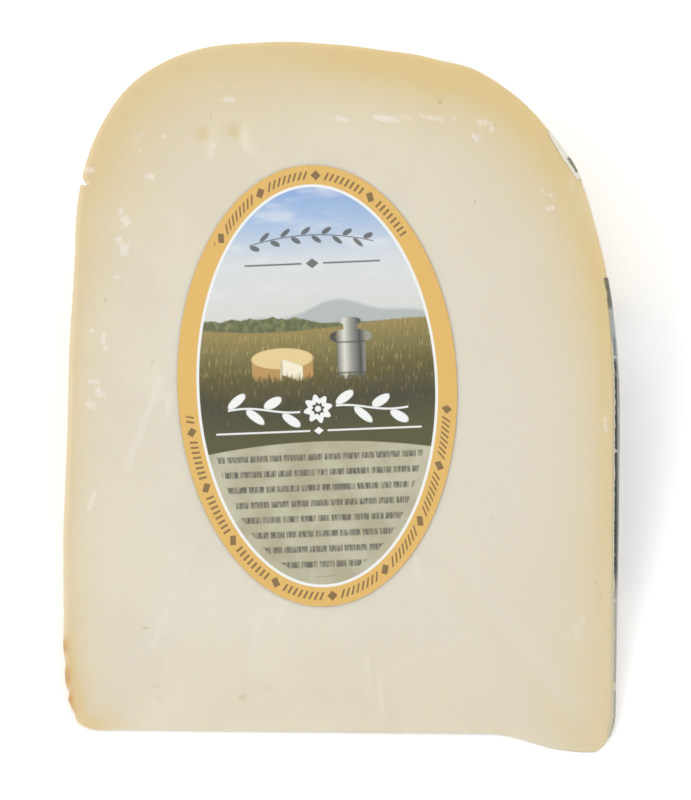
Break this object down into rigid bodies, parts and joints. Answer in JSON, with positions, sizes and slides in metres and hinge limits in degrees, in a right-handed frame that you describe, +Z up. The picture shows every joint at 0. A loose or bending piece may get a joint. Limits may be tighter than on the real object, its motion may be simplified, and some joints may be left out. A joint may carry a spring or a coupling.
{
  "type": "wedge of goat cheese",
  "caption": "Wedge of pale goat cheese from a round wheel, tightly film wrapped, with an oval label on its cut face and a cut rind label on one side.",
  "frame": {"origin": "under the middle of the whole, on the plane of the lower cut face that it rests on", "axes": "+X along the wheel's axis towards the flank with the rind label, +Y from the tip to the rim, +Z up from the lower cut face"},
  "size_m": [0.1022, 0.13, 0.0406],
  "materials": {
    "cheese": "smooth ivory cut cheese, golden at its rind",
    "film": "tight clear vacuum film with small frosty specks and soft pull lines",
    "front_label": "satin coated paper, printed with a gold ring, a meadow and a pale panel",
    "rind_label": "satin coated paper, printed charcoal and blue grey",
    "shoulder_tag": "white coated paper with a dark green mark"
  },
  "bodies": {
    "root": {"wrapped_wedge": "cheese", "front_label": "front_label", "rind_label": "rind_label", "shoulder_tag": "shoulder_tag"}
  },
  "joints": []
}
